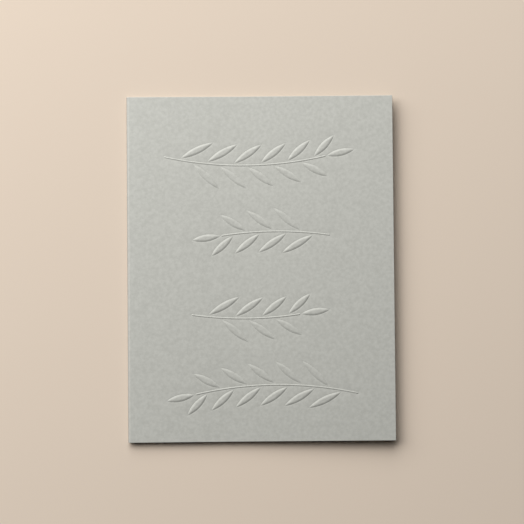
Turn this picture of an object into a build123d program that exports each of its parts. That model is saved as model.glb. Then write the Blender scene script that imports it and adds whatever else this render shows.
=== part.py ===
from build123d import *
import os
from math import atan2, degrees, radians, sin

# A folded greeting card: one sheet of heavy uncoated card, creased down its left side and lying nearly shut.
# The back panel lies flat. The crease is a round bend that the front panel leaves level. Further on the front
# panel curls up a little and runs straight from there, so that its free edge stands a few millimetres above
# the back one. Four leafy sprigs are blind-embossed in the front panel: they stand up from its outside, and the
# punch has left the same hollows in its inside.
# The origin is in the middle of the card, on the surface that it lies on. +X runs from the crease to the free
# edges, +Y to the top of the card and +Z up. Lengths are in millimetres and angles in degrees.

# The sheet
card_width = 107.95  # from the crease to the free edges, 4 1/4 in
card_height = 139.7  # 5 1/2 in
stock = 0.5  # thickness of the sheet

# The crease and the curl
crease_radius = 0.6  # inside the bend
crease_bead = 0.22  # radius of the ridge that the scoring rule raises inside the bend
level_length = 34.0  # the stretch of the front panel that lies level, from the bend on
curl_length = 14.0  # the stretch after it, over which the panel curls up
curl_angle = 1.5  # slope of the flat from there to the free edge
curl_strips = 3  # how many narrow flats the curl is made of, each a little steeper than the last

# The rows of embossing, from the top of the card
row_leaves = (11, 7, 7, 11)  # leaves along the stem of each row's sprig
top_margin = 24.5  # from the top edge to the middle of the first row
bottom_margin = 19.2  # from the bottom edge to the middle of the last row
side_margin = 15.3  # beyond each end of the longest row

# A sprig
stem_width = 0.6
stem_rise = 0.16
stem_radius = 150.0  # of its gentle curve
leaf_length = 15.0  # at the foot of the stem
tip_leaf_length = 11.5  # at its end, with an even change from one to the other
leaf_width = 2.7
leaf_rise = 0.42
leaf_lean = 36.0  # between a leaf and the stem
leaf_gap = 0.5  # plain card between the stem and the foot of a leaf
leaf_sides = ((0.62, 0.115), (0.38, 0.165))  # shares of a leaf's rise and width: steep sides, low crown

# What follows from those sizes
panel_depth = card_width - crease_radius - stock  # from the bend to the free edge
bend_place = card_width / 2 - panel_depth  # where the bend begins and ends
row_pitch = (card_height - top_margin - bottom_margin) / (len(row_leaves) - 1)
tip_gap = stem_width / 2 + leaf_gap
longest_stem = card_width - 2 * side_margin - tip_gap - tip_leaf_length
leaf_spacing = longest_stem / (max(row_leaves) + 1)  # on one side of the stem and the other by turns
root = stock / 2  # how far the relief reaches below the face that it stands on


def front_line(lift=0):
    """The front panel's inside as seen from the bottom of the card, or the same line raised by the lift."""
    height = stock + 2 * crease_radius + lift
    with BuildLine() as line:
        flat = Line((bend_place, height), (bend_place + level_length, height))
        for strip in range(1, curl_strips + 1):
            flat = PolarLine(flat @ 1, curl_length / curl_strips, strip * curl_angle / (curl_strips + 1))
        PolarLine(flat @ 1, panel_depth - level_length - curl_length, curl_angle)
    return line.wire()


def on_front(place, lift):
    """Where a place on the flat sheet comes to lie, that far above the front panel's inside.

    The places are measured from the middle of the panel, which is half the card's width from the free edge.
    """
    along = panel_depth - card_width / 2 + place.position.X
    inside = front_line()
    point = inside.position_at(along, PositionMode.LENGTH)
    uphill = inside.tangent_at(along, PositionMode.LENGTH)
    panel = Plane((point.X, place.position.Y, point.Y), (uphill.X, 0, uphill.Y), (-uphill.Y, 0, uphill.X))
    return panel.offset(lift).location * Rot(0, 0, place.orientation.Z)


def stem_line(leaves):
    """The middle line of a stem. Its sprig grows along +X and has its own middle at the origin."""
    stem_length = (leaves + 1) * leaf_spacing
    foot = -(stem_length + tip_gap + tip_leaf_length) / 2
    with BuildLine() as line:
        RadiusArc((foot, 0), (foot + stem_length, 0), -stem_radius)
    return line.edge()


def leaf_relief(length):
    """A leaf that stands up from the XY plane, with its middle at the origin and its tip along +X."""
    with BuildPart() as leaf:
        with BuildSketch() as outline:
            with BuildLine():
                ThreePointArc((-length / 2, 0), (0, -leaf_width / 2), (length / 2, 0))
                ThreePointArc((length / 2, 0), (0, leaf_width / 2), (-length / 2, 0))
            make_face()
        extrude(amount=-root)
        tops = outline.sketch
        for rise_share, width_share in leaf_sides:
            rise = rise_share * leaf_rise
            extrude(tops, amount=rise, taper=degrees(atan2(width_share * leaf_width, rise)))
            tops = leaf.faces().filter_by(Axis.Z).group_by(Axis.Z)[-1]
    return leaf.part


def sprig_leaves(leaves):
    """The leaves of a sprig, each with the place of its middle on the flat sheet."""
    stem = stem_line(leaves)
    placed = []
    for number in range(1, leaves + 2):
        share = number / (leaves + 1)
        length = leaf_length + (tip_leaf_length - leaf_length) * share
        if share == 1:
            lean, gap = 0, tip_gap
        else:
            lean, gap = leaf_lean if number % 2 else -leaf_lean, tip_gap / sin(radians(leaf_lean))
        place = Pos(stem @ share) * Rot(0, 0, stem.tangent_angle_at(share) + lean) * Pos(gap + length / 2, 0)
        placed.append((place, leaf_relief(length)))
    return placed


rows = [
    (leaves, Location((0, card_height / 2 - top_margin - row * row_pitch), 180 * (row % 2)))
    for row, leaves in enumerate(row_leaves)
]
sprigs = {leaves: sprig_leaves(leaves) for leaves in row_leaves}


def relief(lift):
    """The solids of all four sprigs, standing that far above the front panel's inside."""
    with BuildPart() as stems:
        with BuildSketch():
            for leaves, row in rows:
                with Locations(row):
                    SlotArc(stem_line(leaves), stem_width)
        extrude(amount=card_width)
        with BuildSketch(Plane.XZ):
            with BuildLine():
                add(front_line(lift - root))
                offset(amount=root + stem_rise, side=Side.LEFT)
            make_face()
        extrude(amount=card_height / 2, both=True, mode=Mode.INTERSECT)
    raised = [on_front(row * place, lift) * leaf for leaves, row in rows for place, leaf in sprigs[leaves]]
    return stems.solids() + raised


with BuildPart() as folded_card:
    # The sheet's inside, from the back panel's free edge round the bend to the front panel's free edge, then
    # its outside, and the bead along the deepest line of the bend
    with BuildSketch(Plane.XZ):
        with BuildLine():
            back_panel = Line((card_width / 2, stock), (bend_place, stock))
            bend = JernArc(back_panel @ 1, back_panel % 1, crease_radius, -180)
            add(front_line())
            offset(amount=stock, side=Side.LEFT)
        make_face()
        with Locations(bend @ 0.5):
            Circle(crease_bead)
    extrude(amount=card_height / 2, both=True)
    add(relief(stock))
    add(relief(0), mode=Mode.SUBTRACT)

folded_card.part.label = "folded_card"
os.makedirs("parts", exist_ok=True)
export_step(folded_card.part, "parts/folded_card.step")
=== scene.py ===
"""Looks for a folded greeting card of heavy felt-marked card, with sprigs of leaves blind-embossed in its front.

The classes work in millimetres, in the frame of the CAD model: +X from the crease to the free edges, +Y to the
top of the card and +Z up, with the origin on the surface that the card lies on. Points in the plane of a panel
are complex numbers, x + iy.
"""

import logging
import math
from abc import ABC, abstractmethod
from dataclasses import dataclass, replace
from enum import Enum

import bpy
import numpy as np
from mathutils import Euler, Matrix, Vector
from mathutils.geometry import delaunay_2d_cdt


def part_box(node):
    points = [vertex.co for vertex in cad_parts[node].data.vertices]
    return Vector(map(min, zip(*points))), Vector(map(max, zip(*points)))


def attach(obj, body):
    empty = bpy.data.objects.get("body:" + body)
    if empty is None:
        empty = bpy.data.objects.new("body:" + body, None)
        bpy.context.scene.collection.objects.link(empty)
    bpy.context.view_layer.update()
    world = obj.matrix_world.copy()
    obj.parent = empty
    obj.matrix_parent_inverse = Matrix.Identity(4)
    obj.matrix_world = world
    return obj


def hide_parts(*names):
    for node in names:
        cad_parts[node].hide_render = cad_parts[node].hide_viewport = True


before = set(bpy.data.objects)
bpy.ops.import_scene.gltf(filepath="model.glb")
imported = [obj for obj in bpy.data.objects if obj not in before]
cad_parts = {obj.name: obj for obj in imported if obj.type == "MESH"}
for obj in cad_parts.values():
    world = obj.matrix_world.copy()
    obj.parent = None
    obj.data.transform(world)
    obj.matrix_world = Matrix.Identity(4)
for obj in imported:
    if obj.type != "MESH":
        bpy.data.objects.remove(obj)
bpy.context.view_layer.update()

MM = 0.001  # a millimetre in Blender's metres
# The colour sockets of a Mix node, which share their names with its other sockets, by number
MIX_SHARE, MIX_FROM, MIX_TO, MIX_RESULT = 0, 6, 7, 2
log = logging.getLogger("greeting_card")


def linear(hex_colour: str) -> tuple[float, float, float, float]:
    """Turns an sRGB hex colour into linear light.

    Args:
        hex_colour: the colour as #RRGGBB.

    Returns:
        Red, green, blue and an alpha of 1, as a shader's socket takes them.
    """
    channels = (int(hex_colour[at:at + 2], 16) / 255 for at in (1, 3, 5))
    red, green, blue = (c / 12.92 if c <= 0.04045 else ((c + 0.055) / 1.055) ** 2.4 for c in channels)
    return red, green, blue, 1.0


def add_node(
    tree: bpy.types.NodeTree,
    kind: str,
    values: dict[str | int, object] | None = None,
    links: dict[str | int, bpy.types.NodeSocket] | None = None,
    **settings: object,
) -> bpy.types.Node:
    """Adds one node to a material or a world.

    Args:
        tree: the node tree that it joins.
        kind: Blender's name for the kind of node.
        values: what each input that isn't linked is set to, by the input's name or number.
        links: the output that feeds each linked input, by the input's name or number.
        settings: the node's own options.

    Returns:
        The new node.
    """
    node = tree.nodes.new(kind)
    for name, setting in settings.items():
        setattr(node, name, setting)
    for socket, value in (values or {}).items():
        node.inputs[socket].default_value = value
    for socket, source in (links or {}).items():
        tree.links.new(source, node.inputs[socket])
    return node


def arc(centre: complex, radius: float, start: float, stop: float, spacing: float) -> np.ndarray:
    """Points along an arc, both ends among them.

    Args:
        centre: the arc's centre.
        radius: its radius.
        start: the angle of its first point, in radians.
        stop: the angle of its last point.
        spacing: the longest step between two points.

    Returns:
        The points as complex numbers.
    """
    steps = max(3, math.ceil(abs(stop - start) * radius / spacing))
    return centre + radius * np.exp(1j * np.linspace(start, stop, steps + 1))


class Growth(Enum):
    """Which way a sprig grows across the card, as the angle that its die is turned by."""

    RIGHTWARD = 0.0
    LEFTWARD = math.pi


class Zone(Enum):
    """The parts of the card's surface, each with its finish, by the number of its material."""

    SKIN = 0
    CUT = 1


@dataclass(frozen=True)
class Stroke(ABC):
    """One raised stroke that the die strikes in the card.

    Its crown is rounded, and a shallow groove runs round its foot, where the edge of the die has pressed.
    """

    rise: float  # of the crown above the panel
    flank: float  # from the stroke's edge to where the crown is level
    groove: float  # depth of the groove

    groove_centre = 0.12  # outside the stroke's edge
    groove_reach = 0.32  # from the groove's bottom to where it ends, on each side
    influence = 1.0  # outside the stroke's edge, far enough to hold all of the groove

    @abstractmethod
    def sides(self, points: np.ndarray) -> tuple[np.ndarray, ...]:
        """How far inside each side of the stroke the points are, below 0 outside."""

    @abstractmethod
    def inside(self, points: np.ndarray) -> np.ndarray:
        """How far inside the stroke's edge the points are, below 0 outside."""

    @abstractmethod
    def outline(self, offset: float) -> np.ndarray:
        """The closed line that lies that far outside the stroke's edge, or inside where the offset is below 0."""

    @abstractmethod
    def ridge(self) -> np.ndarray:
        """The open line along the stroke's middle."""

    def crown(self, points: np.ndarray) -> np.ndarray:
        """How far the stroke raises the panel at each point, from steep foot to level top."""
        shares = [np.sin(np.clip(side / self.flank, 0, 1) * math.pi / 2) for side in self.sides(points)]
        return self.rise * np.prod(shares, axis=0)

    def hollow(self, points: np.ndarray) -> np.ndarray:
        """How far the groove lowers the panel at each point."""
        across = np.clip((self.inside(points) + self.groove_centre) / self.groove_reach, -1, 1)
        return self.groove * (1 + np.cos(across * math.pi)) / 2


@dataclass(frozen=True)
class Leaf(Stroke):
    """A leaf: a pointed oval between two arcs."""

    foot: complex
    heading: float  # radians
    length: float
    width: float

    spacing = 0.8  # between the points of its lines
    cap_spacing = 0.12  # the same round its two ends

    @property
    def radius(self) -> float:
        """Radius of both arcs."""
        return (self.length ** 2 + self.width ** 2) / (4 * self.width)

    @property
    def drop(self) -> float:
        """From the leaf's axis to the centre of each arc."""
        return self.radius - self.width / 2

    def local(self, points: np.ndarray) -> np.ndarray:
        """The points as seen from the leaf's middle, with its axis along the real numbers."""
        return (points - self.foot) * np.exp(-1j * self.heading) - self.length / 2

    def placed(self, points: np.ndarray) -> np.ndarray:
        """The opposite of local."""
        return (points + self.length / 2) * np.exp(1j * self.heading) + self.foot

    def sides(self, points: np.ndarray) -> tuple[np.ndarray, ...]:
        """How far inside each of the two arcs the points are."""
        at = self.local(points)
        return self.radius - abs(at + 1j * self.drop), self.radius - abs(at - 1j * self.drop)

    def inside(self, points: np.ndarray) -> np.ndarray:
        """Measures from the leaf's edge, or from its tips for points beyond them.

        Args:
            points: points of the panel.

        Returns:
            How far inside the edge each point is, below 0 outside.
        """
        at = self.local(points)
        past, across = abs(at.real) - self.length / 2, abs(at.imag)
        beyond = past * self.drop > across * self.length / 2
        return np.where(beyond, -np.hypot(past, across), np.minimum(*self.sides(points)))

    def outline(self, offset: float) -> np.ndarray:
        """The closed line at that offset, with round ends outside the leaf and pointed ones inside.

        Args:
            offset: how far outside the leaf's edge the line lies, below 0 inside.

        Returns:
            The points of the line, with the first not repeated at its end.
        """
        radius = self.radius + offset
        half_turn = math.acos(self.drop / min(radius, self.radius))
        half = arc(-1j * self.drop, radius, math.pi / 2 + half_turn, math.pi / 2 - half_turn, self.spacing)[:-1]
        if offset > 0:
            turn = math.pi / 2 - half_turn
            half = np.concatenate([half, arc(self.length / 2, offset, turn, -turn, self.cap_spacing)[:-1]])
        return self.placed(np.concatenate([half, -half]))

    def ridge(self) -> np.ndarray:
        """The leaf's axis from tip to tip."""
        steps = math.ceil(self.length / self.spacing)
        return self.placed(np.linspace(-self.length / 2, self.length / 2, steps + 1).astype(complex))


@dataclass(frozen=True)
class Stem(Stroke):
    """A stem: a line of even width along a gentle arc, with round ends."""

    centre: complex
    radius: float
    middle: float  # angle of the arc's middle as seen from its centre, radians
    half_turn: float  # from there to each end, radians
    width: float

    spacing = 1.0
    cap_spacing = 0.2

    def end(self, sign: int) -> complex:
        """The middle of the round end on the side of that sign."""
        return self.centre + self.radius * np.exp(1j * (self.middle + sign * self.half_turn))

    def sides(self, points: np.ndarray) -> tuple[np.ndarray, ...]:
        """How far inside the stem's edge the points are, as its one side."""
        return (self.inside(points),)

    def inside(self, points: np.ndarray) -> np.ndarray:
        """Measures from the stem's edge.

        Args:
            points: points of the panel.

        Returns:
            How far inside the edge each point is, below 0 outside.
        """
        at = (points - self.centre) * np.exp(-1j * self.middle)
        beside = abs(abs(at) - self.radius)
        beyond = np.minimum(abs(points - self.end(-1)), abs(points - self.end(1)))
        return self.width / 2 - np.where(abs(np.angle(at)) < self.half_turn, beside, beyond)

    def outline(self, offset: float) -> np.ndarray:
        """The closed line at that offset.

        Args:
            offset: how far outside the stem's edge the line lies, below 0 inside.

        Returns:
            The points of the line, with the first not repeated at its end.
        """
        reach = self.width / 2 + offset
        start, stop = self.middle - self.half_turn, self.middle + self.half_turn
        return np.concatenate([
            arc(self.centre, self.radius + reach, start, stop, self.spacing)[:-1],
            arc(self.end(1), reach, stop, stop + math.pi, self.cap_spacing)[:-1],
            arc(self.centre, self.radius - reach, stop, start, self.spacing)[:-1],
            arc(self.end(-1), reach, start + math.pi, start + 2 * math.pi, self.cap_spacing)[:-1],
        ])

    def ridge(self) -> np.ndarray:
        """The stem's middle line."""
        start, stop = self.middle - self.half_turn, self.middle + self.half_turn
        return arc(self.centre, self.radius, start, stop, self.spacing)


@dataclass(frozen=True)
class SprigDie:
    """The die for sprigs: a curved stem, leaves on its two sides by turns and one leaf at its end."""

    spacing: float = 6.0  # between leaves, along the chord of the stem
    stem_width: float = 0.6
    stem_rise: float = 0.12
    stem_flank: float = 0.28
    stem_groove: float = 0.025
    stem_radius: float = 150.0
    leaf_length: float = 15.0  # at the foot of the stem
    tip_leaf_length: float = 11.5  # at its end
    leaf_width: float = 2.7
    leaf_rise: float = 0.2
    leaf_flank: float = 0.9
    leaf_groove: float = 0.03
    leaf_lean: float = math.radians(36)
    leaf_gap: float = 0.5

    @property
    def tip_gap(self) -> float:
        """From the end of the stem's middle line to the foot of the last leaf."""
        return self.stem_width / 2 + self.leaf_gap

    def strokes(self, leaves: int, centre: complex, growth: Growth) -> list[Stroke]:
        """The strokes of one sprig.

        Args:
            leaves: how many leaves grow from its sides.
            centre: the middle of the sprig's length, on the chord of its stem.
            growth: which way it grows.

        Returns:
            The stem, the leaf at its end and the leaves from its foot on.
        """
        chord = (leaves + 1) * self.spacing
        half_turn = math.asin(chord / 2 / self.stem_radius)
        turn = growth.value
        foot = -(chord + self.tip_gap + self.tip_leaf_length) / 2
        arc_centre = foot + chord / 2 + 1j * self.stem_radius * math.cos(half_turn)

        def on_stem(lean: float) -> complex:
            """The point of the stem where it heads that way, before the die is turned."""
            return arc_centre + self.stem_radius * np.exp(1j * (lean - math.pi / 2))

        def leaf(heading: float, base: complex, gap: float, length: float) -> Leaf:
            """A leaf that starts at that gap from a point of the stem."""
            place = centre + (base + gap * np.exp(1j * heading)) * np.exp(1j * turn)
            return Leaf(
                self.leaf_rise, self.leaf_flank, self.leaf_groove, place, heading + turn, length, self.leaf_width,
            )

        strokes: list[Stroke] = [
            Stem(
                self.stem_rise, self.stem_flank, self.stem_groove, centre + arc_centre * np.exp(1j * turn),
                self.stem_radius, turn - math.pi / 2, half_turn, self.stem_width,
            ),
            leaf(half_turn, on_stem(half_turn), self.tip_gap, self.tip_leaf_length),
        ]
        for number in range(1, leaves + 1):
            share = number / (leaves + 1)
            stem_heading = half_turn * (2 * share - 1)
            lean = self.leaf_lean if number % 2 else -self.leaf_lean
            length = self.leaf_length + (self.tip_leaf_length - self.leaf_length) * share
            side_gap = self.tip_gap / math.sin(self.leaf_lean)
            strokes.append(leaf(stem_heading + lean, on_stem(stem_heading), side_gap, length))
        return strokes


@dataclass
class Embossing:
    """The four rows of sprigs on the front panel, in its own plane with the origin in the panel's middle."""

    card_width: float
    card_height: float
    rows: tuple[tuple[int, Growth], ...] = (
        (11, Growth.RIGHTWARD), (7, Growth.LEFTWARD), (7, Growth.RIGHTWARD), (11, Growth.LEFTWARD),
    )
    top_margin: float = 24.5
    bottom_margin: float = 19.2
    side_margin: float = 15.3
    # Where the flat drawing follows the strokes' edges, as offsets outside them
    leaf_offsets: tuple[float, ...] = (
        0.45, 0.36, 0.28, 0.2, 0.12, 0.04, -0.05, -0.14, -0.25, -0.38, -0.53, -0.7, -0.88, -1.06,
    )
    stem_offsets: tuple[float, ...] = (0.44, 0.32, 0.22, 0.12, 0.03, -0.06, -0.15)

    def __post_init__(self) -> None:
        """Sets the rows of strokes out over the panel."""
        die = SprigDie()
        most = max(leaves for leaves, _ in self.rows)
        longest_stem = self.card_width - 2 * self.side_margin - die.tip_gap - die.tip_leaf_length
        die = replace(die, spacing=longest_stem / (most + 1))
        pitch = (self.card_height - self.top_margin - self.bottom_margin) / (len(self.rows) - 1)
        self.strokes: list[Stroke] = []
        for row, (leaves, growth) in enumerate(self.rows):
            height = self.card_height / 2 - self.top_margin - row * pitch
            self.strokes += die.strokes(leaves, 1j * height, growth)

    def height(self, points: np.ndarray) -> np.ndarray:
        """How far the embossing moves the panel.

        Args:
            points: points of the panel.

        Returns:
            How far each point moves out of the panel, below 0 in the grooves.
        """
        crown, hollow = np.zeros(points.shape), np.zeros(points.shape)
        for stroke in self.strokes:
            near = stroke.inside(points) > -stroke.influence
            crown[near] = np.maximum(crown[near], stroke.crown(points[near]))
            hollow[near] = np.maximum(hollow[near], stroke.hollow(points[near]))
        return crown - hollow

    def lines(self) -> list[tuple[np.ndarray, bool]]:
        """The lines that the flat drawing follows.

        Returns:
            Each line's points, and whether it is closed.
        """
        found = []
        for stroke in self.strokes:
            offsets = self.leaf_offsets if isinstance(stroke, Leaf) else self.stem_offsets
            found += [(stroke.outline(offset), True) for offset in offsets]
            found.append((stroke.ridge(), False))
        return found


@dataclass
class FoldedSheet:
    """The sheet that the card is folded from, and how it is folded.

    Its flat drawing is seen from the card's outside. It has u across the sheet, from the back panel's free edge
    round the crease to the front panel's free edge, measured on the inside, and y up the card.
    """

    width: float  # from the crease to the free edges
    height: float
    stock: float = 0.5
    crease_radius: float = 0.6
    bead_rise: float = 0.22  # of the ridge that the scoring rule raises inside the bend
    bead_reach: float = 0.3  # from its top to its foot
    level_length: float = 34.0  # the stretch of the front panel that lies level, from the bend on
    curl_length: float = 14.0  # the stretch after it, over which the panel curves up
    curl_angle: float = math.radians(1.5)  # slope of the flat from there to the free edge
    cut_round: float = 0.05  # rounding of the cut edges

    outline_reach = 1.5  # in roundings of the cut edge: a point this near to a side belongs to the outline there

    def __post_init__(self) -> None:
        """Works out the runs of the sheet's inside, each a length and the angle that it turns by, clockwise."""
        depth = self.width - self.crease_radius - self.stock
        self.runs = (
            (depth, 0.0),
            (self.crease_radius * math.pi, math.pi),
            (self.level_length, 0.0),
            (self.curl_length, -self.curl_angle),
            (depth - self.level_length - self.curl_length, 0.0),
        )
        self.bend_start, self.bend_end, *_, self.length = np.cumsum([length for length, _ in self.runs])
        self.bend_middle = (self.bend_start + self.bend_end) / 2

    def fold(self, u: np.ndarray, y: np.ndarray, depth: np.ndarray) -> np.ndarray:
        """Where points of the flat drawing are once the sheet is folded.

        Args:
            u: place across the flat drawing.
            y: place up the card.
            depth: height above the sheet's inside, towards its outside.

        Returns:
            An array with a row of x, y and z for each point.
        """
        x, z = np.full(u.shape, self.width / 2), np.full(u.shape, self.stock)
        heading, start = np.full(u.shape, math.pi), 0.0
        for length, turn in self.runs:
            step = np.clip(u - start, 0, length)
            half = -turn * step / length / 2
            chord = step * np.sinc(half / math.pi)
            x, z = x + chord * np.cos(heading + half), z + chord * np.sin(heading + half)
            heading, start = heading + 2 * half, start + length
        return np.stack([x - depth * np.sin(heading), y, z + depth * np.cos(heading)], axis=1)

    def crease_shade_share(self, u: np.ndarray) -> np.ndarray:
        """How much shade is painted at each place, from 0 on the flats to 1 in the middle of the bend."""
        reach = (self.bend_end - self.bend_start) / 2
        return (1 + np.cos(np.clip((u - self.bend_middle) / reach, -1, 1) * math.pi)) / 2

    def outward(self, plan: np.ndarray) -> np.ndarray:
        """The way out of the flat drawing from its outline.

        Args:
            plan: points of the outline.

        Returns:
            A step of 1 straight out from each point, and of 1 both ways from a corner.
        """
        near = self.outline_reach * self.cut_round
        from_middle = plan.real - self.length / 2
        across = np.sign(from_middle) * (abs(from_middle) > self.length / 2 - near)
        up = np.sign(plan.imag) * (abs(plan.imag) > self.height / 2 - near)
        return across + 1j * up

    def bead(self, u: np.ndarray) -> np.ndarray:
        """How far the ridge inside the bend stands off the sheet's inside."""
        across = np.clip((u - self.bend_middle) / self.bead_reach, -1, 1)
        return self.bead_rise * (1 + np.cos(across * math.pi)) / 2


class FlatDrawing:
    """Collects points and lines in the plane and divides it into triangles that follow them."""

    merge_distance = 0.0005
    least_area = 1e-9  # twice the area of a triangle that is too thin to keep

    def __init__(self) -> None:
        """Starts an empty drawing."""
        self.points: list[complex] = []
        self.edges: list[tuple[int, int]] = []

    def line(self, points: np.ndarray, closed: bool = False) -> None:
        """Adds a line.

        Args:
            points: the points that it runs through.
            closed: whether it runs from the last point back to the first.
        """
        first, last = len(self.points), len(self.points) + len(points) - 1
        self.points += list(points)
        self.edges += [(at, at + 1) for at in range(first, last)]
        if closed:
            self.edges.append((last, first))

    def triangles(self) -> tuple[np.ndarray, np.ndarray]:
        """Divides the drawing.

        Returns:
            The points as complex numbers, and the three corners of each triangle, anticlockwise.
        """
        corners = [Vector((point.real, point.imag)) for point in self.points]
        points, _, faces, *_ = delaunay_2d_cdt(corners, self.edges, [], 0, self.merge_distance)
        points, faces = np.array(points, dtype=float) @ (1, 1j), np.array(faces)
        a, b, c = points[faces].T
        area = ((b - a).conjugate() * (c - a)).imag
        faces[area < 0] = faces[area < 0][:, ::-1]
        return points, faces[abs(area) > self.least_area]


@dataclass(frozen=True)
class FeltMarkedCard:
    """Solid-dyed cotton card, dried on a woven felt and left uncoated.

    To the eye it is dull and even, a little cloudy where the fibres lie thicker or thinner, with a soft felt
    mark that shows in slanting light and a fine tooth. It is smoother where a die has pressed it. Along the
    crease its colour is darkened: painted shade that dims the light which the rounded bend catches.
    """

    colour: str = "#B3B3AC"
    cloud_colour: str = "#A9A9A2"
    # painted shade: the bend of the crease is given this darker colour
    crease_shade_colour: str = "#8C8984"
    cloud_size: float = 1.4  # the clumps of fibres
    cloud_detail: float = 3.0  # how many times the clumps break up into finer ones
    cloud_break_up: float = 0.6  # how strongly each finer set shows
    cloud_span: tuple[float, float] = (0.34, 0.66)  # of the noise, from the one colour to the other
    felt_size: float = 1.7  # the marks of the felt's threads
    felt_depth: float = 0.010
    felt_detail: float = 1.0
    tooth_size: float = 0.8  # fibres are about 0.02 across, too fine to show, so their bundles are drawn
    tooth_depth: float = 0.020
    tooth_detail: float = 2.0
    roughness: float = 0.7
    pressed_roughness: float = 0.6
    ior: float = 1.5  # cellulose

    def material(self) -> bpy.types.Material:
        """Makes the material, with its patterns in real sizes.

        Returns:
            The material.
        """
        made = bpy.data.materials.new("felt_marked_cotton_card")
        made.use_nodes = True
        tree = made.node_tree
        tree.nodes.clear()
        place = add_node(tree, "ShaderNodeTexCoord").outputs["Object"]
        # how much shade is painted along the crease, from 0 to 1
        crease = add_node(tree, "ShaderNodeAttribute", attribute_name="crease").outputs["Fac"]
        pressed = add_node(tree, "ShaderNodeAttribute", attribute_name="pressed").outputs["Fac"]
        cloud = add_node(
            tree, "ShaderNodeTexNoise",
            {"Scale": 1 / (self.cloud_size * MM), "Detail": self.cloud_detail, "Roughness": self.cloud_break_up},
            {"Vector": place},
        )
        cloudiness = add_node(
            tree, "ShaderNodeMapRange", {"From Min": self.cloud_span[0], "From Max": self.cloud_span[1]},
            {"Value": cloud.outputs["Fac"]},
        )
        clouded = add_node(
            tree, "ShaderNodeMix", {MIX_FROM: linear(self.colour), MIX_TO: linear(self.cloud_colour)},
            {MIX_SHARE: cloudiness.outputs["Result"]}, data_type="RGBA",
        ).outputs[MIX_RESULT]
        # paints shade along the bend of the crease
        crease_shaded = add_node(
            tree, "ShaderNodeMix", {MIX_TO: linear(self.crease_shade_colour)}, {MIX_SHARE: crease, MIX_FROM: clouded},
            data_type="RGBA",
        ).outputs[MIX_RESULT]
        felt = add_node(
            tree, "ShaderNodeTexNoise", {"Scale": 1 / (self.felt_size * MM), "Detail": self.felt_detail},
            {"Vector": place},
        )
        tooth = add_node(
            tree, "ShaderNodeTexNoise", {"Scale": 1 / (self.tooth_size * MM), "Detail": self.tooth_detail},
            {"Vector": place},
        )
        felt_bump = add_node(
            tree, "ShaderNodeBump", {"Distance": self.felt_depth * MM}, {"Height": felt.outputs["Fac"]},
        )
        tooth_bump = add_node(
            tree, "ShaderNodeBump", {"Distance": self.tooth_depth * MM},
            {"Height": tooth.outputs["Fac"], "Normal": felt_bump.outputs["Normal"]},
        )
        roughness = add_node(
            tree, "ShaderNodeMapRange", {"To Min": self.roughness, "To Max": self.pressed_roughness},
            {"Value": pressed},
        )
        shader = add_node(
            tree, "ShaderNodeBsdfPrincipled", {"IOR": self.ior},
            {
                "Base Color": crease_shaded, "Roughness": roughness.outputs["Result"],
                "Normal": tooth_bump.outputs["Normal"],
            },
        )
        add_node(tree, "ShaderNodeOutputMaterial", links={"Surface": shader.outputs["BSDF"]})
        return made


@dataclass(frozen=True)
class GuillotinedEdge:
    """The same card where the guillotine has cut it.

    To the eye a cut edge is a shade paler than the face, because it shows the ends of the fibres, and finely
    streaked along the sheet, because they lie in layers.
    """

    colour: str = "#C5C5BE"
    streak_colour: str = "#B4B4AD"
    streak_thickness: float = 0.09
    streak_length: float = 2.5
    streak_detail: float = 2.0
    roughness: float = 0.96
    diffuse_roughness: float = 0.6
    ior: float = 1.5

    def material(self) -> bpy.types.Material:
        """Makes the material, with the streaks lying in the plane of the sheet.

        Returns:
            The material.
        """
        made = bpy.data.materials.new("guillotined_card_edge")
        made.use_nodes = True
        tree = made.node_tree
        tree.nodes.clear()
        place = add_node(tree, "ShaderNodeTexCoord").outputs["Object"]
        along, across = 1 / (self.streak_length * MM), 1 / (self.streak_thickness * MM)
        layers = add_node(tree, "ShaderNodeMapping", {"Scale": (along, along, across)}, {"Vector": place})
        streaks = add_node(
            tree, "ShaderNodeTexNoise", {"Scale": 1.0, "Detail": self.streak_detail},
            {"Vector": layers.outputs["Vector"]},
        )
        streaked = add_node(
            tree, "ShaderNodeMix", {MIX_FROM: linear(self.colour), MIX_TO: linear(self.streak_colour)},
            {MIX_SHARE: streaks.outputs["Fac"]}, data_type="RGBA",
        )
        shader = add_node(
            tree, "ShaderNodeBsdfPrincipled",
            {"IOR": self.ior, "Diffuse Roughness": self.diffuse_roughness, "Roughness": self.roughness},
            {"Base Color": streaked.outputs[MIX_RESULT]},
        )
        add_node(tree, "ShaderNodeOutputMaterial", links={"Surface": shader.outputs["BSDF"]})
        return made


@dataclass(frozen=True)
class MattEmulsion:
    """Matt emulsion on a smooth board, rolled on, which to the eye is one pale even colour with no shine."""

    colour: str = "#D9CBBB"
    stipple_size: float = 1.2  # what the roller leaves
    stipple_depth: float = 0.004
    stipple_detail: float = 1.0
    roughness: float = 0.9
    diffuse_roughness: float = 0.8

    def material(self) -> bpy.types.Material:
        """Makes the material.

        Returns:
            The material.
        """
        made = bpy.data.materials.new("matt_emulsion")
        made.use_nodes = True
        tree = made.node_tree
        tree.nodes.clear()
        place = add_node(tree, "ShaderNodeTexCoord").outputs["Object"]
        stipple = add_node(
            tree, "ShaderNodeTexNoise", {"Scale": 1 / (self.stipple_size * MM), "Detail": self.stipple_detail},
            {"Vector": place},
        )
        bump = add_node(
            tree, "ShaderNodeBump", {"Distance": self.stipple_depth * MM}, {"Height": stipple.outputs["Fac"]},
        )
        shader = add_node(
            tree, "ShaderNodeBsdfPrincipled",
            {
                "Base Color": linear(self.colour), "Roughness": self.roughness,
                "Diffuse Roughness": self.diffuse_roughness,
            },
            {"Normal": bump.outputs["Normal"]},
        )
        add_node(tree, "ShaderNodeOutputMaterial", links={"Surface": shader.outputs["BSDF"]})
        return made


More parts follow.
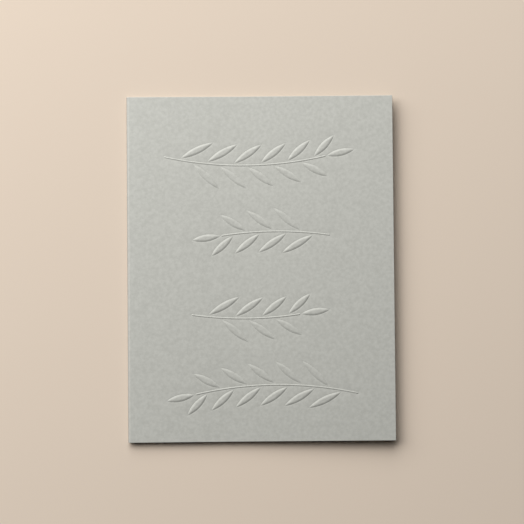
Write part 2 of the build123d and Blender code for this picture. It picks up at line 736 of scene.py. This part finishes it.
@dataclass
class EmbossedCard:
    """The card: one folded sheet with its embossing, made as one closed mesh."""

    sheet: FoldedSheet
    embossing: Embossing
    skin_finish: FeltMarkedCard = FeltMarkedCard()
    cut_finish: GuillotinedEdge = GuillotinedEdge()
    grid: float = 6.0  # between the points of the plain stretches
    bend_steps: int = 36
    edge_band: float = 0.12  # keeps the shading of the rounded edges off the faces
    stroke_margin: float = 0.8  # between the points of the plain stretches and a stroke
    struck_height: float = 0.1  # a die that has moved the card by this much has smoothed it
    map_gap: float = 4.0  # round the two faces on the unwrapped map

    def panel_point(self, plan: np.ndarray) -> np.ndarray:
        """Points of the flat drawing as seen from the middle of the front panel."""
        return plan - (self.sheet.length - self.sheet.width / 2)

    def clear_of_strokes(self, plan: np.ndarray) -> np.ndarray:
        """Which points of the flat drawing are clear of every stroke and its groove."""
        points = self.panel_point(plan)
        return np.all([stroke.inside(points) < -self.stroke_margin for stroke in self.embossing.strokes], axis=0)

    def drawing(self) -> tuple[np.ndarray, np.ndarray]:
        """The flat drawing of the sheet, as far as the rounding of its cut edges, in triangles.

        Returns:
            The points as complex numbers, and the three corners of each triangle, anticlockwise.
        """
        sheet, drawing = self.sheet, FlatDrawing()
        left, top = sheet.cut_round, sheet.height / 2 - sheet.cut_round
        right, inner_top = sheet.length - left, top - self.edge_band
        back = np.arange(self.grid, sheet.bend_start - self.grid / 2, self.grid)
        bend = np.linspace(sheet.bend_start, sheet.bend_end, self.bend_steps + 1)
        front = np.arange(sheet.bend_end + self.grid, sheet.length - self.grid / 2, self.grid)
        borders = np.array([left, left + self.edge_band, right - self.edge_band, right])
        across = np.sort(np.concatenate([borders, back, bend, front]))
        levels = np.linspace(-inner_top, inner_top, round(2 * inner_top / self.grid) + 1)
        up = np.array([-top, *levels, top])
        for u in (*borders, *bend):
            drawing.line(u + 1j * up)
        for y in (-top, -inner_top, inner_top, top):
            drawing.line(across + 1j * y)
        plain = (np.concatenate([back, front])[:, None] + 1j * levels[1:-1]).ravel()
        drawing.points += list(plain[self.clear_of_strokes(plain)])
        for line, closed in self.embossing.lines():
            drawing.line(line - self.panel_point(0), closed)
        return drawing.triangles()

    def build(self) -> bpy.types.Object:
        """Folds the drawing's two faces, joins them round the cut edges and dresses the result.

        Returns:
            The card, in place in the CAD model's frame.
        """
        sheet, (plan, triangles) = self.sheet, self.drawing()
        count, cut_round = len(plan), sheet.cut_round
        height, bead = self.embossing.height(self.panel_point(plan)), sheet.bead(plan.real)

        # The outline of the drawing: the edges that no other triangle shares, anticlockwise
        edges = triangles[:, [[0, 1], [1, 2], [2, 0]]].reshape(-1, 2)
        rim = edges[~np.isin(edges @ (count, 1), edges @ (1, count))]
        border = rim[:, 0]
        order = np.zeros(count, dtype=int)
        order[border] = np.arange(len(border))
        out = sheet.outward(plan[border])
        cut = plan[border] + cut_round * out

        # The four rings of the cut edge, from the outer face to the inner one, and the strips between them
        first, second = order[rim].T + 2 * count
        rings = [(rim[:, 0], rim[:, 1]), (first, second), (first + len(border), second + len(border))]
        rings.append((rim[:, 0] + count, rim[:, 1] + count))
        strips = [np.stack([b, a, c, d], axis=1) for (a, b), (c, d) in zip(rings, rings[1:])]
        places = np.concatenate([
            sheet.fold(plan.real, plan.imag, sheet.stock + height),
            sheet.fold(plan.real, plan.imag, height - bead),
            sheet.fold(cut.real, cut.imag, np.full(len(cut), sheet.stock - cut_round)),
            sheet.fold(cut.real, cut.imag, cut_round - bead[border]),
        ])
        faces = [*triangles.tolist(), *(triangles[:, ::-1] + count).tolist()]
        skin_faces = len(faces)
        faces += np.concatenate(strips).tolist()

        mesh = bpy.data.meshes.new("embossed_card")
        mesh.from_pydata((places * MM).tolist(), [], faces)
        mesh.shade_smooth()
        zones = np.full(len(faces), Zone.SKIN.value)
        zones[skin_faces:] = Zone.CUT.value
        mesh.polygons.foreach_set("material_index", zones)
        unwrapped = self.unwrapped(plan, triangles, rim, out, order)
        mesh.uv_layers.new(name="OFBake").uv.foreach_set("vector", unwrapped)
        everywhere = np.concatenate([np.arange(count), np.arange(count), border, border])
        # stores where shade is painted along the bend of the crease
        self.paint(mesh, "crease", sheet.crease_shade_share(plan.real)[everywhere])
        self.paint(mesh, "pressed", np.clip(abs(height) / self.struck_height, 0, 1)[everywhere])
        mesh.materials.append(self.skin_finish.material())
        mesh.materials.append(self.cut_finish.material())

        card = bpy.data.objects.new("embossed_card", mesh)
        bpy.context.scene.collection.objects.link(card)
        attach(card, "root")
        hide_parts("folded_card")
        return card

    def unwrapped(
        self, plan: np.ndarray, triangles: np.ndarray, rim: np.ndarray, out: np.ndarray, order: np.ndarray,
    ) -> np.ndarray:
        """Lays the card's surface out flat: the outer face with the cut edge round it, and the inner face.

        Args:
            plan: the points of the flat drawing.
            triangles: its triangles.
            rim: the edges of its outline.
            out: the way out of the drawing at each point of the outline.
            order: the place in the outline of each point of the drawing that is on it.

        Returns:
            The place on the map of each face's corners in turn, as a flat run of numbers from 0 to 1.
        """
        sheet, gap = self.sheet, self.map_gap
        outer = plan + gap + 1j * (gap + sheet.height / 2)
        inner = (sheet.length - plan.real) + 1j * plan.imag + gap + 1j * (2 * gap + 1.5 * sheet.height)
        slope = sheet.cut_round * math.sqrt(2)
        widths = np.cumsum([0, slope, sheet.stock - 2 * sheet.cut_round, slope])
        near, far = outer[rim].T
        near_out, far_out = out[order[rim]].T
        strips = [
            np.stack([far + far_out * a, near + near_out * a, near + near_out * b, far + far_out * b], axis=1)
            for a, b in zip(widths, widths[1:])
        ]
        corners = np.concatenate([
            outer[triangles].ravel(), inner[triangles[:, ::-1]].ravel(), np.concatenate(strips).ravel(),
        ]) / (2 * sheet.height + 3 * gap)
        return np.stack([corners.real, corners.imag], axis=1).ravel()

    @staticmethod
    def paint(mesh: bpy.types.Mesh, name: str, shares: np.ndarray) -> None:
        """Stores a number from 0 to 1 for each of the mesh's points, for its finish to read."""
        mesh.attributes.new(name, "FLOAT", "POINT").data.foreach_set("value", shares.astype(np.float32))


@dataclass(frozen=True)
class SoftBox:
    """A wide lamp behind a diffuser, aimed at the card."""

    name: str
    place: tuple[float, float, float]
    width: float
    height: float
    power: float  # watts
    colour: str

    def hang(self) -> bpy.types.Object:
        """Makes the lamp and aims it at the middle of the floor.

        Returns:
            The lamp, in place.
        """
        lamp = bpy.data.lights.new(self.name, "AREA")
        lamp.shape, lamp.size, lamp.size_y = "RECTANGLE", self.width * MM, self.height * MM
        lamp.energy, lamp.color = self.power, linear(self.colour)[:3]
        hung = bpy.data.objects.new(self.name, lamp)
        hung.location = Vector(self.place) * MM
        hung.rotation_euler = (-Vector(self.place)).to_track_quat("-Z", "Y").to_euler()
        bpy.context.scene.collection.objects.link(hung)
        return hung


@dataclass(frozen=True)
class Studio:
    """The pale floor, the soft light and the camera over the card."""

    floor_side: float = 4000.0
    floor_finish: MattEmulsion = MattEmulsion()
    key: SoftBox = SoftBox(
        name="key_light", place=(-341.0, 501.0, 455.0), width=1329.0, height=645.0, power=16.0, colour="#FFFFFF",
    )
    surroundings: str = "#FFFFFF"
    surroundings_strength: float = 0.01
    lens: float = 85.0
    sensor: float = 36.0
    view_transform: str = "Standard"  # keeps the floor's hue where the card shades it
    camera_place: tuple[float, float, float] = (-11.05, -10.8, 503.0)
    camera_turn: tuple[float, float, float] = (1.54, -1.31, -0.49)  # degrees

    def lay_floor(self) -> bpy.types.Object:
        """Makes the floor, which isn't part of the card.

        Returns:
            The floor, with its top at the height of the card's back.
        """
        reach = self.floor_side / 2 * MM
        corners = [(-reach, -reach, 0), (reach, -reach, 0), (reach, reach, 0), (-reach, reach, 0)]
        mesh = bpy.data.meshes.new("studio_floor")
        mesh.from_pydata(corners, [], [(0, 1, 2, 3)])
        mesh.materials.append(self.floor_finish.material())
        floor = bpy.data.objects.new("studio_floor", mesh)
        bpy.context.scene.collection.objects.link(floor)
        return floor

    def light(self) -> None:
        """Hangs the key light and sets the even light of the surroundings."""
        self.key.hang()
        world = bpy.data.worlds.new("studio")
        world.use_nodes = True
        world.node_tree.nodes.clear()
        background = add_node(
            world.node_tree, "ShaderNodeBackground",
            {"Color": linear(self.surroundings), "Strength": self.surroundings_strength},
        )
        add_node(world.node_tree, "ShaderNodeOutputWorld", links={"Surface": background.outputs["Background"]})
        bpy.context.scene.world = world

    def place_camera(self) -> bpy.types.Object:
        """Sets up the camera, almost straight above the card.

        Returns:
            The camera, in place.
        """
        camera = bpy.data.cameras.new("camera")
        camera.lens, camera.sensor_width = self.lens, self.sensor
        placed = bpy.data.objects.new("camera", camera)
        placed.location = Vector(self.camera_place) * MM
        placed.rotation_euler = Euler([math.radians(angle) for angle in self.camera_turn])
        bpy.context.scene.collection.objects.link(placed)
        bpy.context.scene.camera = placed
        bpy.context.scene.view_settings.view_transform = self.view_transform
        return placed


def main() -> None:
    """Builds the card and the studio round it."""
    logging.basicConfig(level=logging.INFO, format="%(message)s")
    lowest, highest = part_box("folded_card")
    width, height = ((highest - lowest) / MM).xy
    card = EmbossedCard(FoldedSheet(width, height), Embossing(width, height)).build()
    log.info("%s: %d points, %d faces", card.name, len(card.data.vertices), len(card.data.polygons))
    studio = Studio()
    floor = studio.lay_floor()
    studio.light()
    camera = studio.place_camera()
    log.info("Studio: %s and %s", floor.name, camera.name)


if __name__ == "__main__":
    main()
